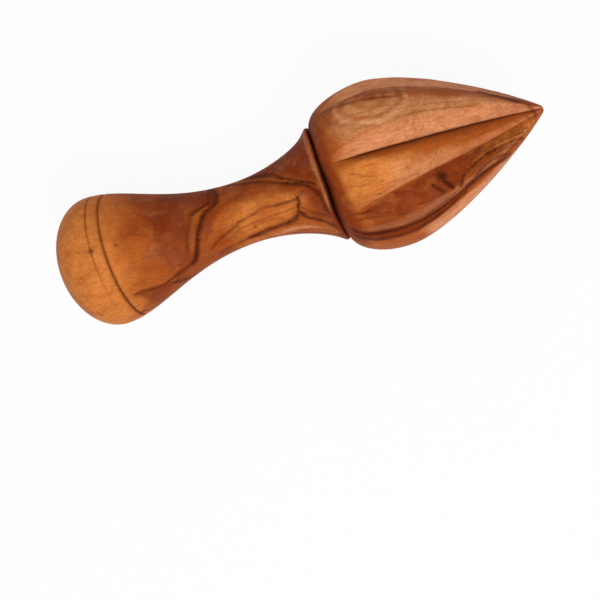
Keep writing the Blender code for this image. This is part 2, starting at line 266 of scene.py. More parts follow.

# Tinted patches, some of them painted light, sheen and shade: softness of the edge, strength, and corners
EDGE_WANDER = 0.35  # how far each edge wanders, as a share of its softness
HANDLE_PLUM = (
    (10, 0.7, ((28, -110), (28, -60), (29, -35), (31, -15), (31.5, 5), (32, 18), (32.5, 30), (34, 44),
        (38, 47.5), (43, 43), (44.5, 33), (45.2, 18), (46.4, 4), (47.8, -10), (48.8, -24), (52, -31),
        (54.5, -40), (55.8, -60), (54, -100), (46, -130), (34, -130))),
    (3.5, 1, ((37, -110), (35, -60), (34, -30), (33, -10), (32, 8), (33, 22), (34.5, 35), (37.5, 44),
        (39.6, 41), (40.7, 30), (41.4, 15), (42.4, 4), (43.8, -10), (44.8, -24), (48, -31), (50.5, -40),
        (51.8, -60), (50, -110))),
    (1.5, 1, ((49.5, -100), (50, -60), (50.2, -34), (52.5, -30), (54, -38), (54, -60), (54, -100))),
    (3, 0.85, ((47.5, 3), (48.8, -12), (50.5, -21), (54, -29), (58, -38), (62, -42), (62.5, -33), (58, -29),
        (54, -18), (51, -4), (49.5, 14), (47.5, 28), (45, 36), (45, 22))),
    (5, 0.45, ((45, 22), (49, 14), (54, 16), (57, 24), (57, 38), (56, 50), (48, 52), (43, 44))),
    (4, 0.85, ((77, -2), (80, 4), (79.5, 16), (78.5, 30), (81, 38), (86, 44), (86, -2), (82, -8))),
    (4, 0.85, ((56, -45), (60, -40), (65, -34), (70, -24), (72, -15), (68, -18), (62, -23), (56, -20),
        (53, -28))),
    (4, 0.45, ((24, 50), (30, 56), (38, 54), (46, 54), (50, 62), (44, 80), (28, 82), (23, 70))),
    (2, 0.85, ((23, 42), (26, 44.5), (28.5, 49.5), (33, 52.5), (32.5, 62), (31, 74), (26, 78), (24.3, 62))),
    (2, 1, ((59, -90), (61.5, -69), (65, -58), (69, -48.5), (72, -38), (74, -31), (77, -22), (80, -14),
        (83, -7), (85, 1), (88, 8), (88, -100), (80, -120), (68, -110))),
    (3, 0.8, ((55, -80), (58, -62), (62, -55), (66, -46), (70, -35), (74, -21), (79, -11), (83, 0),
        (80, -4), (74, -12), (69, -23), (64, -33), (58, -42), (54, -46))),
    (3, 0.5, ((38, 50), (44, 48), (50, 52), (56, 56), (60, 60), (60, 68), (50, 76), (38, 82), (32, 76),
        (33, 58))),
    (2.5, 0.9, ((83, 2), (82, 20), (82, 38), (83.5, 50), (86, 52), (88, 52), (88, 0))),
    (4, 0.7, ((50, -150), (58, -160), (70, -172), (84, -198), (86, -170), (72, -140), (58, -115),
        (53, -120))),
    (4, 0.8, ((28, -170), (33, -150), (39, -152), (37, -172), (37.5, -195), (39.5, -215), (38, -248),
        (30, -268), (25, -240), (26, -205))),
)
HANDLE_GOLD = (
    (6, 0.85, ((56, -6), (59, -18), (63, -24), (67, -19), (72, -9), (77.5, 0), (79.5, 10), (79, 20),
        (77, 28), (74.5, 20), (73, 33), (66, 40), (58, 44), (54, 42), (54, 32), (55, 18), (55, 5))),
    # partly a painted highlight along the handle's lower edge
    (3, 0.9, ((57, 57), (62, 53), (68, 48), (72, 50), (70, 58), (66, 66), (62, 76), (54, 78), (54, 64))),
    (1.2, 0.45, ((44.9, -22), (47.2, -26), (47.4, -17), (45.7, -6), (44.6, 6), (43.4, 20), (42.2, 31),
        (41, 40), (41.6, 20), (43, 2))),
)
# Mostly painted highlights, along the handle's lower edge and the lip's edge
HANDLE_PINK_AND_HIGHLIGHTS = (
    (4, 0.08, ((29.5, 3), (31, 18), (33, 30), (36, 36), (40, 34), (41.5, 22), (40, 8), (36, 2), (32, 0))),
    (2.2, 0.85, ((63.5, 64), (67, 58.5), (70.5, 53), (74, 49.2), (77.5, 48), (81, 50), (84.5, 54), (85, 57),
        (81, 55), (77, 55), (73, 58), (70, 66), (65, 70))),
    (0.8, 0.4, ((84.1, -88), (84.1, -40), (84.3, 10), (84.5, 28), (85.3, 28), (85.3, -40), (85.3, -88))),
    (1.5, 0.45, ((74.6, -24.5), (77.4, -18), (80.6, -10.5), (81.2, -11.3), (78, -18.6), (75.2, -25))),
)
HEAD_PLUM = (
    (4, 0.35, ((124, -2), (130, 6), (140, 8), (147, 10), (147, -8), (138, -9), (128, -9), (121, -8))),
    (1.2, 1, ((92.5, 27.5), (95.5, 25.5), (100, 21.5), (105, 18.5), (110, 17.2), (116, 16.4), (122, 15.8),
        (128, 15.2), (131, 19), (127, 27), (124, 33), (121.5, 38.5), (115, 38), (110, 37.2), (105, 36),
        (101.5, 33.5), (97.5, 30.5))),
    (2, 1, ((91, 42), (95, 44), (100, 43), (105, 43), (112, 44), (119, 45), (122, 47), (121, 53),
        (116, 56.6), (110, 58), (100, 57), (93, 56), (89, 53), (88.5, 43))),
    (5, 0.8, ((97, 29), (104, 31), (112, 33), (120, 34), (124, 38), (120, 46), (108, 46), (98, 46),
        (94, 42))),
    (2, 0.2, ((88, 56), (90.5, 57), (91.5, 66), (91.5, 80), (88, 80))),
    (3, 0.9, ((99, 41), (105, 38.5), (112, 40), (120, 41.5), (124, 41), (122, 46), (112, 47), (103, 46))),
    (2, 0.5, ((122, 41), (123.4, 34.5), (127, 31), (131, 29.8), (135, 32), (138, 38), (139, 45), (137, 47),
        (133, 41.5), (129, 40.5), (125.5, 44))),
    (2, 0.55, ((121, 49), (126, 46), (131, 49), (134, 55), (131, 55.5), (126, 51.5), (121, 52.5))),
    # partly painted shade on the far edge near the point
    (2.5, 0.95, ((132, -70), (136, -68), (141, -66), (147, -58), (147, -46), (142, -48), (137, -54),
        (133, -60))),
    # painted shade on the wall after a groove's bottom, near the point
    (3, 0.7, ((116, -10.5), (118, -6), (128, -5), (140, -6), (147, -7), (147, -11), (130, -11))),
    (2.5, 0.8, ((143.5, -26), (144, -8), (145, 14), (151, 14), (151, -40), (146, -40))),
    (4, 0.7, ((93, 140), (101, 128), (112, 132), (121, 136), (130, 150), (134, 170), (128, 192), (118, 204),
        (104, 200), (94, 186))),
    (3, 0.6, ((92, 250), (104, 246), (120, 248), (136, 254), (136, 262), (118, 266), (100, 268),
        (92, 266))),
)
HEAD_GOLD = (
    (4.5, 1, ((90.5, -8), (94, -9), (99, -6), (105, -3), (111, -1), (114, 3), (112, 10), (106, 16),
        (103, 18.5), (99, 20.5), (94, 24), (90.5, 22))),
    # painted light on a lit groove wall near the shoulder
    (2.5, 0.45, ((93.5, 33.5), (97, 33.5), (101, 36), (103.5, 39), (100, 42), (95, 42))),
    (5, 1, ((127, 22), (133, 17), (141, 16), (148, 18), (148, 62), (143, 62), (138, 52), (136, 38),
        (130, 30))),
)
HEAD_PALE = (
    (4.5, 0.95, ((96, -52), (102, -49.5), (108, -47.5), (116, -45.5), (126, -45), (136, -47.5), (142, -50),
        (143, -36), (133, -32), (122, -28.5), (112, -25), (104, -22), (97, -22.5), (94.6, -30), (94, -44))),
    # painted light on the far top strip
    (4, 0.9, ((95, -64), (104, -61), (116, -60.5), (128, -61), (134, -66), (136, -80), (128, -100),
        (104, -100), (96, -86))),
    # painted sheen on the golden land
    (5, 0.65, ((106.5, 1), (112, 2), (119, 3), (123, 6), (121, 13), (116, 15.5), (112, 16), (106.5, 16.5),
        (104.5, 8))),
)
# Mostly painted light and sheen: the lit lower strip, the far top strip and a lavender wall
HEAD_PINK_AND_SHEEN = (
    (6, 1, ((110.5, 60), (115, 60), (120, 58.5), (125, 57.5), (128, 60.5), (132, 63), (136, 67), (138, 74),
        (130, 86), (114, 88), (110, 78))),
    (4, 0.8, ((98, -66), (104, -62.5), (116, -62), (128, -62.5), (133, -67), (134, -80), (128, -96),
        (104, -96), (98, -84))),
    (3, 0.7, ((134, -40), (140, -38), (145, -30), (145, -14), (134, -13))),
    (1.4, 0.25, ((105.5, 38.3), (110, 38.6), (118, 40), (124.5, 41.5), (124, 43), (117, 41.5), (110, 40.6),
        (105, 40))),
)
# Painted shade on the far edge near the point
HEAD_PAINTED_SHADE = (
    (2.5, 0.5, ((135.5, -66), (141, -64), (148, -60), (149, -95), (141, -95), (135.5, -95))),
)
KNOT = (105.6, -49.5)
KNOT_REACH = (11.6, 10.2)  # its half length along the axis and half width round it
KNOT_RING_PITCH = 0.31  # from ring to ring, as a share of its reach
KNOT_LAST_RING = 0.86
KNOT_EDGE = 0.1  # how softly the knot ends, and how far its outline wanders
KNOT_WANDER = 0.05
KNOT_FAINT = 0.4  # how clear its rings are on the side away from the uppermost
KNOT_BROWN = 0.5  # how much of the pale tint the knot loses between its rings

# Stain, and painted shade by the seam, by height: where it starts or ends, and how softly
GOLDEN_BUTT = (22.8, 11.0)
LIP_STAIN_AND_SHADE = (84.2, 1.2)
LIP_STAIN_AND_SHADE_SHARE = 0.9
SHOULDER_STAIN_AND_SHADE = (90.4, 92.3, 3.0)  # how high it reaches on the two sides, and how softly it ends
UP_SIDE_STAIN_AND_SHADE = 0.85  # how strong it is on the side where it reaches less high
BARE_SIDE = (80.0, 18.0)  # where round the axis the shoulder is nearly bare, and how far round that is
BARE_SHARE = 0.85  # how much stain and painted shade is missing there, and painted seam shade
BARE_SEAM_SHADE_SHARE = 0.5

# Oil settled in the rings, with painted shade in their hollows
RING_BESIDE = (0.55, 1.7)  # the share of it that lies beside a ring, and how many half widths out
MAIN_RING_OIL_AND_SHADE = (0.8, 0.1)  # the mean, and how much more or less lies on its two sides
FAINT_RING_OIL_AND_SHADE = 0.78
FAINT_RING_FALL = 1.5
FAINT_RING_SIDE = -50.0  # where round the axis the faint ring is deepest

# Painted shade in the seam: how much lies all round, and how much more at its middle
HANDLE_SEAM_SHADE = (0.15, 0.75)
HEAD_SEAM_SHADE = (0.62, 0.38)
LIP_SEAM_SHADE = (85.0, 0.6)  # how high it starts on the handle, and over what height it thickens
HEAD_FOOT = 86.4
SEAM_SHADE = (2.1, 3.4)  # how far above the seam the painted shade reaches, at least and at most
SEAM_SHADE_MIDDLE = (12.0, 34.0)  # where round the axis it reaches furthest, and how far round that is

# From what angle on, and over how many degrees, the figure seen from above turns under the head
TURNS_UNDER = (74.0, 16.0)

# Unevenness is a sum of sines: how many, how their pitches spread, and how high they reach together
SINES = 7
PITCH_SPREAD = (0.6, 1.5)
SINES_HEIGHT = 4


def tool_matrix():
    """Where the upright tool lies, from the mount on the butt's flat."""
    mount = next(m for m in frame["record"]["mounts"] if m["name"] == "butt_flat")
    axis = -Vector(mount["axis"]).normalized()
    side = Vector((0, -1, 0))
    up = side.cross(axis)
    turn = Matrix((up, side, axis)).transposed().to_4x4()
    return Matrix.Translation(Vector(mount["pos_m"])) @ turn


def bezier(start, start_pull, end_pull, end, steps):
    t = np.linspace(0, 1, steps + 1)[1:, None]
    curve = start * (1 - t) ** 3 + start_pull * 3 * t * (1 - t) ** 2
    return curve + end_pull * 3 * t**2 * (1 - t) + end * t**3


def point(radius, height):
    return np.array((radius, height))


def leaning(degrees):
    """A step of length 1 along a profile, leaning out from straight outwards to straight up."""
    return point(math.cos(math.radians(degrees)), math.sin(math.radians(degrees)))


def respace(outline, spacing):
    """The same outline with points at an even spacing along it."""
    lengths = np.concatenate(([0], np.cumsum(np.linalg.norm(np.diff(outline, axis=0), axis=1))))
    count = max(2, int(round(lengths[-1] / spacing)) + 1)
    at = np.linspace(0, lengths[-1], count)
    return np.stack([np.interp(at, lengths, outline[:, 0]), np.interp(at, lengths, outline[:, 1])], 1)


def dome():
    first = math.asin(BUTT_FLAT_RADIUS / BUTT_RADIUS)
    turn = np.linspace(first, math.pi / 2, DOME_POINTS)
    height = BUTT_DOME_HEIGHT * (1 - np.cos(turn) / math.cos(first))
    return np.stack([BUTT_RADIUS * np.sin(turn), height], 1)


def lip():
    turn = np.radians(np.linspace(-FLARE_ANGLE, LIP_BEAD_END, BEAD_POINTS))
    middle = point(LIP_RADIUS - LIP_BEAD, SEAM_HEIGHT - LIP_DROP)
    return middle + LIP_BEAD * np.stack([np.cos(turn), np.sin(turn)], 1)


def handle_outline():
    widest = point(BUTT_RADIUS, BUTT_DOME_HEIGHT)
    waist = point(WAIST_RADIUS, WAIST_HEIGHT)
    up, down = point(0, FLANK_PULL[0]), point(0, FLANK_PULL[1])
    flank = bezier(widest, widest + up, waist - down, waist, steps=300)
    edge = lip()
    up, down = point(0, FLARE_PULL[0]), FLARE_PULL[1] * leaning(90 - FLARE_ANGLE)
    flare = bezier(waist, waist + up, edge[0] - down, edge[0], steps=200)
    side = respace(np.concatenate([dome(), flank, flare]), ROW_SPACING)
    into_seam = np.linspace(edge[-1], point(SEAM_RADIUS, SEAM_HEIGHT), SEAT_POINTS)
    bore = TENON_RADIUS + TENON_CLEARANCE
    floor = SEAM_HEIGHT + SEAT_GAP - TENON_LENGTH - GLUE_SPACE
    mortise = [point(bore, SEAM_HEIGHT), point(bore, floor)]
    return np.concatenate([side, edge[1:], into_seam[1:], mortise])


def head_outline():
    base = SEAM_HEIGHT + SEAT_GAP
    start = point(SHOULDER_RADIUS, base + SHOULDER_RISE)
    widest = point(HEAD_RADIUS, SEAM_HEIGHT + WIDEST_ABOVE_SEAM)
    out, down = SHOULDER_PULL[0] * leaning(SHOULDER_LIFT), point(0, SHOULDER_PULL[1])
    shoulder_stain_and_shade = bezier(start, start + out, widest - down, widest, steps=200)
    slope = math.radians(POINT_ANGLE)
    middle = point(0, SEAM_HEIGHT + HEAD_LENGTH - POINT_RADIUS)
    end = middle + POINT_RADIUS * leaning(POINT_ANGLE)
    up, back = point(0, TAPER_PULL[0]), TAPER_PULL[1] * point(math.sin(slope), -math.cos(slope))
    taper = bezier(widest, widest + up, end + back, end, steps=400)
    side = respace(np.concatenate([[start], shoulder_stain_and_shade, taper]), ROW_SPACING)
    from_seam = np.linspace(point(SEAM_RADIUS, base), start, SHOULDER_POINTS)
    cap = np.linspace(slope, math.radians(POINT_CAP_END), TIP_POINTS)[1:]
    tip = middle + (POINT_RADIUS - INSET / 2) * np.stack([np.cos(cap), np.sin(cap)], 1)
    below = base - TENON_LENGTH
    tenon = [
        point(TENON_RADIUS - TENON_CHAMFER, below),
        point(TENON_RADIUS, below + TENON_CHAMFER),
        point(TENON_RADIUS, base),
    ]
    return np.concatenate([tenon, from_seam[:-1], side, tip])


def scribed(heights, ring):
    """Depth of a V-shaped ring at each height."""
    height, width, depth = ring
    return depth * np.clip(1 - np.abs(heights - height) / (width / 2), 0, 1)


def smooth(t):
    t = np.clip(t, 0, 1)
    return t * t * (3 - 2 * t)


def waves(x, y, z, pitch, seed):
    """Gentle unevenness over space, from about -1 to 1, with the given wavelength."""
    draw = np.random.default_rng(seed)
    total = 0
    for _ in range(SINES):
        way = draw.normal(size=3)
        way *= 2 * math.pi / pitch * draw.uniform(*PITCH_SPREAD) / np.linalg.norm(way)
        total = total + np.sin(x * way[0] + y * way[1] + z * way[2] + draw.uniform(0, 2 * math.pi))
    return total / SINES_HEIGHT


def carved_share(height):
    return smooth((height - SEAM_HEIGHT - GROOVE_START) / GROOVE_RUN_IN)


def widened(height):
    t = (height - SEAM_HEIGHT - GROOVE_START) / (HEAD_LENGTH - GROOVE_START)
    return np.maximum(NARROWEST_GROOVE, np.sqrt(np.maximum(t, 0)))


def bottoms(height):
    """The angle of each groove's bottom at each height."""
    t = (height - SEAM_HEIGHT - GROOVE_START) / GROOVE_SWEEP
    left = (1 - np.clip(t, 0, 1)) ** 2
    return [swept + (start - swept) * left for start, swept, _, _, _ in GROOVES]


def chord(radius_a, angle_a, radius_b, angle_b, angle):
    """Radius at an angle on the straight line between two points of a cross-section."""
    across = radius_a * radius_b * np.sin(np.radians(angle_b - angle_a))
    from_a = radius_a * np.sin(np.radians(angle - angle_a))
    from_b = radius_b * np.sin(np.radians(angle_b - angle))
    return across / (from_a + from_b)


def steps(counts, groove):
    """Shares of a wall from 0 towards 1, closer together near both of its ends."""
    count = counts[0] if groove < UPPER_GROOVES else counts[1]
    return smooth(np.linspace(0, 1, count + 1))[:-1]


def carved_columns(radius, height):
    """Angle, radius, painted wall light and shade, and settled oil with painted shade of each point of the
    head.
    """
    share = carved_share(height)
    shrunk = share * radius / HEAD_RADIUS
    angles = bottoms(height)
    columns = []
    for i, bottom in enumerate(angles):
        following = (i + 1) % len(GROOVES)
        next_bottom = angles[following] + (360 if following == 0 else 0)
        floor = radius - GROOVES[i][4] * shrunk
        next_floor = radius - GROOVES[following][4] * shrunk
        start = bottom + GROOVES[i][3] * widened(height)
        end = next_bottom - GROOVES[following][2] * widened(height)
        middle = (start + end) / 2
        meet = end - start < NARROWEST_LAND
        start = np.where(meet, middle - NARROWEST_LAND / 2, start)
        end = np.where(meet, middle + NARROWEST_LAND / 2, end)
        _, dark, evenness, bottom_oil_and_shade = WALL_LIGHT_AND_SHADE[i]
        for t in steps(WALL_POINTS, i):
            angle = bottom + (start - bottom) * t
            wall = floor + (radius - floor) * (1 - (1 - t) ** ROLLED_OVER)
            # painted shade on the wall after the bottom, partly the wood's darker colour
            tint = -dark * share * (1 - t**evenness)
            columns.append((angle, wall, tint, bottom_oil_and_shade * share * (1 - t) ** OIL_AND_SHADE_FALL[1]))
        for t in np.linspace(0, 1, LAND_POINTS[i >= UPPER_GROOVES]):
            columns.append((start + (end - start) * t, radius, 0 * share, 0 * share))
        pale, _, _, bottom_oil_and_shade = WALL_LIGHT_AND_SHADE[following]
        for t in reversed(steps(WALL_POINTS, following)[1:]):
            angle = next_bottom - (next_bottom - end) * t
            wall = chord(radius, end, next_floor, next_bottom, angle)
            # painted light on the wall before the bottom, partly the wood's paler colour
            tint = pale * share * (1 - t**PALE_EVENNESS)
            columns.append((angle, wall, tint, bottom_oil_and_shade * share * (1 - t) ** OIL_AND_SHADE_FALL[0]))
    return [np.stack([c[i] for c in columns], 1) for i in range(4)]


def degrees_between(a, b):
    """From b to a, the short way round."""
    return (a - b + 180) % 360 - 180


def worn(angles, radii, blank):
    """The radii with their crests rounded over a distance, ring by ring, and their valleys kept."""
    blur = CREST_WEAR * blank / HEAD_RADIUS
    covers = np.abs(degrees_between(np.roll(angles, -1, axis=1), np.roll(angles, 1, axis=1)))
    total = np.zeros_like(radii)
    weights = np.zeros_like(radii)
    for step in range(-WEAR_REACH, WEAR_REACH + 1):
        gap = np.radians(degrees_between(np.roll(angles, step, axis=1), angles)) * radii
        weight = np.exp(-((gap / blur) ** 2) / 2) * np.roll(covers, step, axis=1)
        total += weight * np.roll(radii, step, axis=1)
        weights += weight
    return np.minimum(radii, total / weights)


def seen_from_above(angles, radii, blank):
    """The blank's own angle, before it was carved, straight above each point of its upper side."""
    angles = degrees_between(angles, 0)
    seen = np.degrees(np.arcsin(np.clip(radii * np.sin(np.radians(angles)) / blank, -1, 1)))
    start, run = TURNS_UNDER
    upper = 1 - smooth((np.abs(angles) - start) / run)
    return np.where(np.abs(angles) < 90, angles + (seen - angles) * upper, angles)


def wandered(heights, angles):
    """The heights with the seam's wander in them."""
    around = degrees_between(angles, 0)
    shift = 0
    for middle, reach, move in SEAM_WANDER:
        shift = shift + move * np.exp(-(((around - middle) / reach) ** 2))
    below, above = SEAM_WANDER_REACH
    reach = np.where(heights < SEAM_HEIGHT, below, above)
    return heights + shift * np.exp(-(((heights - SEAM_HEIGHT) / reach) ** 2))


def through(points, per_gap=5):
    """A smooth curve through given points."""
    p = np.array(points, dtype=float)
    before = np.concatenate([[2 * p[0] - p[1]], p[:-1]])[:-1]
    after = np.concatenate([p[1:], [2 * p[-1] - p[-2]]])[1:]
    start, end = p[:-1], p[1:]
    curve = [p[:1]]
    for i in range(len(start)):
        t = np.linspace(0, 1, per_gap + 1)[1:, None]
        a, b, c, d = before[i], start[i], end[i], after[i]
        bend, turn = 2 * a - 5 * b + 4 * c - d, 3 * b - a - 3 * c + d
        curve.append(0.5 * (2 * b + (c - a) * t + bend * t**2 + turn * t**3))
    return np.concatenate(curve)


class Unrolled:
    """The surface as millimetres along the axis and round it, to measure the figure on."""

    def __init__(self, heights, angles, radii):
        self.height = heights
        self.angle = angles
        self.radius = radii
        turn = np.radians(angles)
        self.x = radii * np.cos(turn)
        self.y = radii * np.sin(turn)

    def waves(self, pitch, seed):
        return waves(self.x, self.y, self.height, pitch, seed)

    def round_from(self, angle):
        return degrees_between(self.angle, angle)

    def near(self, middle, reach):
        """1 at an angle, falling away round the axis."""
        return np.exp(-((self.round_from(middle) / reach) ** 2))

    def gap_to(self, curve):
        """Distance in millimetres to the nearest point of a curve."""
        per_degree = self.radius * math.pi / 180
        nearest = np.full(self.radius.shape, 1e6)
        for (h0, a0), (h1, a1) in zip(curve, curve[1:]):
            along = self.height - h0
            across = self.round_from(a0) * per_degree
            run, rise = h1 - h0, (a1 - a0) * per_degree
            t = np.clip((along * run + across * rise) / (run**2 + rise**2 + 1e-9), 0, 1)
            nearest = np.minimum(nearest, (along - t * run) ** 2 + (across - t * rise) ** 2)
        return np.sqrt(nearest)

    def inside(self, corners):
        """Whether each point is inside a patch."""
        middle = np.mean([a for _, a in corners])
        angle = self.round_from(middle) + middle
        found = np.zeros(angle.shape, dtype=bool)
        for (h0, a0), (h1, a1) in zip(corners, corners[1:] + corners[:1]):
            if a0 == a1:
                continue
            crosses = (a0 > angle) != (a1 > angle)
            found ^= crosses & (self.height < h0 + (angle - a0) * (h1 - h0) / (a1 - a0))
        return found

    def patch(self, patches):
        """How strongly a set of soft-edged patches tints each point."""
        total = np.zeros(self.radius.shape)
        wander = EDGE_WANDER * self.waves(pitch=9, seed=3)
        for softness, strength, corners in patches:
            gap = self.gap_to(corners + corners[:1])
            depth = np.where(self.inside(corners), gap, -gap)
            total = np.maximum(total, strength * smooth(0.5 + depth / softness + wander))
        return total

    def streaks(self, lines):
        """How dark the figure lines are at each point, with a soft skirt beside each."""
        total = np.zeros(self.radius.shape)
        skirt, reach = LINE_SKIRT
        uneven = 1 + 0.3 * self.waves(pitch=5, seed=11)
        fading = 0.85 + 0.15 * self.waves(pitch=12, seed=12)
        for half_width, darkness, points in lines:
            gap = self.gap_to(through(points)) / (half_width * uneven)
            line = (1 - skirt) * np.exp(-(gap**2)) + skirt * np.exp(-gap / reach)
            total = np.maximum(total, darkness * line * fading)
        return total

    def beside(self, lines):
        """Distance in millimetres to the nearest long figure line."""
        long = [points for _, _, points in lines if len(points) > LONG_LINE]
        return np.min([self.gap_to(through(points, per_gap=3)) for points in long], axis=0)


def add(name, data):
    thing = bpy.data.objects.new(name, data)
    bpy.context.scene.collection.objects.link(thing)
    return thing


def skin(name, surface, heights, layers):
    """A closed mesh of rows of points round the axis, with its figure and painted shading stored on the
    points.
    """
    angles, radii = surface
    rows, columns = radii.shape
    turn = np.radians(angles)
    along = wandered(heights, angles)
    points = np.stack([radii * np.cos(turn), radii * np.sin(turn), along], -1).reshape(-1, 3)
    vertices = np.concatenate([points, [(0, 0, heights[0, 0]), (0, 0, heights[-1, 0])]])
    place = np.array(tool_matrix())
    placed = vertices * MM @ place[:3, :3].T + place[:3, 3]
    index = np.arange(rows * columns).reshape(rows, columns)
    turned = np.roll(index, -1, axis=1)
    quads = np.stack([index[:-1], turned[:-1], turned[1:], index[1:]], -1).reshape(-1, 4)
    first, last = rows * columns, rows * columns + 1
    bottom = [(first, int(b), int(a)) for a, b in zip(index[0], turned[0])]
    top = [(last, int(a), int(b)) for a, b in zip(index[-1], turned[-1])]
    mesh = bpy.data.meshes.new(name)
    mesh.from_pydata(placed.tolist(), [], quads.tolist() + bottom + top)
    mesh.shade_smooth()
    held = {"upright": vertices}
    for layer, values in layers.items():
        ends = [np.append(v.reshape(-1), (v[0].mean(), v[-1].mean())) for v in values]
        held[layer] = np.stack(ends, -1)
    for layer, vectors in held.items():
        attribute = mesh.attributes.new(layer, "FLOAT_VECTOR", "POINT")
        attribute.data.foreach_set("vector", vectors.astype(np.float32).ravel())
    mesh.update()
    return add(name, mesh)


def ring_oil_and_shade(flat, ring):
    """Oil settled in a scribed ring with painted shade, and thinner beside it."""
    height, width, _ = ring
    away = np.abs(flat.height - height) / (width / 2)
    share, reach = RING_BESIDE
    return np.maximum(np.sqrt(np.clip(1 - away, 0, 1)), share * np.exp(-((away / reach) ** 2)))


def painted_seam_shade(flat, amounts):
    """Painted shade in the seam, with more of it near its darkest place."""
    all_round, more = amounts
    return all_round + more * flat.near(*SEAM_SHADE_MIDDLE)


def make_handle():
    radius, height = handle_outline().T
    around = np.linspace(-180, 180, TURNED_SIDES, endpoint=False)
    angles = np.broadcast_to(around, (len(height), TURNED_SIDES))
    heights = np.broadcast_to(height[:, None], angles.shape)
    faint = 0.5 + 0.5 * np.cos(np.radians(angles - FAINT_RING_SIDE))
    cut = scribed(heights, MAIN_RING) + scribed(heights, FAINT_RING) * faint
    radii = radius[:, None] - cut - INSET
    flat = Unrolled(heights, angles, radii)
    end, softness = GOLDEN_BUTT
    butt = smooth((end - flat.height) / softness + 0.5 + 0.2 * flat.waves(pitch=14, seed=5))
    gold = np.maximum(flat.patch(HANDLE_GOLD), butt)
    # Plum on the lip by the seam: stain, and painted shade
    start, softness = LIP_STAIN_AND_SHADE
    lip_stain_and_shade = LIP_STAIN_AND_SHADE_SHARE * smooth((flat.height - start) / softness + 0.5)
    plum = np.maximum(flat.patch(HANDLE_PLUM), lip_stain_and_shade)
    # painted shade in the seam
    start, rise = LIP_SEAM_SHADE
    in_seam_shade = painted_seam_shade(flat, HANDLE_SEAM_SHADE) * smooth((flat.height - start) / rise)
    # oil settled in the rings, with painted shade
    mean, uneven = MAIN_RING_OIL_AND_SHADE
    in_main = (mean + uneven * np.sin(np.radians(angles))) * ring_oil_and_shade(flat, MAIN_RING)
    in_faint = FAINT_RING_OIL_AND_SHADE * faint**FAINT_RING_FALL * ring_oil_and_shade(flat, FAINT_RING)
    oil_and_shade = np.maximum(np.maximum(in_main, in_faint), in_seam_shade)
    none = 0 * gold
    figure = {
        "tints": (gold, plum, none),
        "marks": (flat.streaks(HANDLE_LINES), flat.beside(HANDLE_LINES), oil_and_shade),
        "walls": (flat.patch(HANDLE_PINK_AND_HIGHLIGHTS), none, none),
    }
    return skin("turned_handle", (angles, radii), heights, figure)


def knot_rings(flat):
    """Where the knot is, and its pale rings, which are clearer towards the uppermost side."""
    per_degree = flat.radius * math.pi / 180
    along = (flat.height - KNOT[0]) / KNOT_REACH[0]
    across = flat.round_from(KNOT[1]) * per_degree / KNOT_REACH[1]
    out = np.hypot(along, across) + KNOT_WANDER * flat.waves(pitch=7, seed=31)
    rings = 0.5 + 0.5 * np.cos((out - KNOT_LAST_RING) * 2 * math.pi / KNOT_RING_PITCH)
    inside = smooth((1.0 - out) / KNOT_EDGE)
    upper = KNOT_FAINT + (1 - KNOT_FAINT) * smooth(across + 0.35)
    return inside, inside * rings * upper * (0.5 + 0.5 * smooth(out))


def make_head():
    radius, height = head_outline().T
    angles, radii, walls, bottom_oil_and_shade = carved_columns(radius, height)
    heights = np.broadcast_to(height[:, None], angles.shape)
    blank = np.broadcast_to(radius[:, None], angles.shape)
    radii = worn(angles, radii, blank)
    flat = Unrolled(heights, seen_from_above(angles, radii, blank), blank)
    uneven = CUT_UNEVENNESS * carved_share(heights) * (0.5 + 0.5 * flat.waves(pitch=9, seed=21))
    radii = radii - (uneven + INSET) * np.minimum(1, 4 * radii / HEAD_RADIUS)
    # A dark band on the shoulder: stain, and painted shade where it faces back to the handle
    lowest, highest, softness = SHOULDER_STAIN_AND_SHADE
    down_side = smooth(0.5 + 0.9 * np.sin(np.radians(flat.angle)))
    bare = flat.near(*BARE_SIDE)
    reaches = lowest + (highest - lowest) * down_side + 0.5 * flat.waves(pitch=6, seed=41)
    strength = (UP_SIDE_STAIN_AND_SHADE + (1 - UP_SIDE_STAIN_AND_SHADE) * down_side) * (1 - BARE_SHARE * bare)
    shoulder_stain_and_shade = strength * smooth((reaches - flat.height) / softness + 0.5)
    stain_and_shade = np.maximum(shoulder_stain_and_shade, flat.patch(HEAD_PAINTED_SHADE))
    # Painted shade in the seam, reaching furthest up the shoulder near the seam's middle
    narrow, wide = SEAM_SHADE
    reach = narrow + (wide - narrow) * flat.near(*SEAM_SHADE_MIDDLE)
    fading = 1 - smooth((flat.height - HEAD_FOOT) / reach)
    oil_and_shade = np.maximum(bottom_oil_and_shade, painted_seam_shade(flat, HEAD_SEAM_SHADE) * (1 - BARE_SEAM_SHADE_SHARE * bare) * fading)
    knot, rings = knot_rings(flat)
    # the pale and pink patches are partly painted light and sheen
    pale = flat.patch(HEAD_PALE) * (1 - KNOT_BROWN * knot)
    pink_and_sheen = flat.patch(HEAD_PINK_AND_SHEEN)
    figure = {
        "tints": (flat.patch(HEAD_GOLD), flat.patch(HEAD_PLUM), pale),
        "marks": (flat.streaks(HEAD_LINES), flat.beside(HEAD_LINES), oil_and_shade),
        "walls": (np.where(walls < 0, walls, np.maximum(walls, pink_and_sheen)), rings, stain_and_shade),
    }
    return skin("carved_head", (angles, radii), heights, figure)


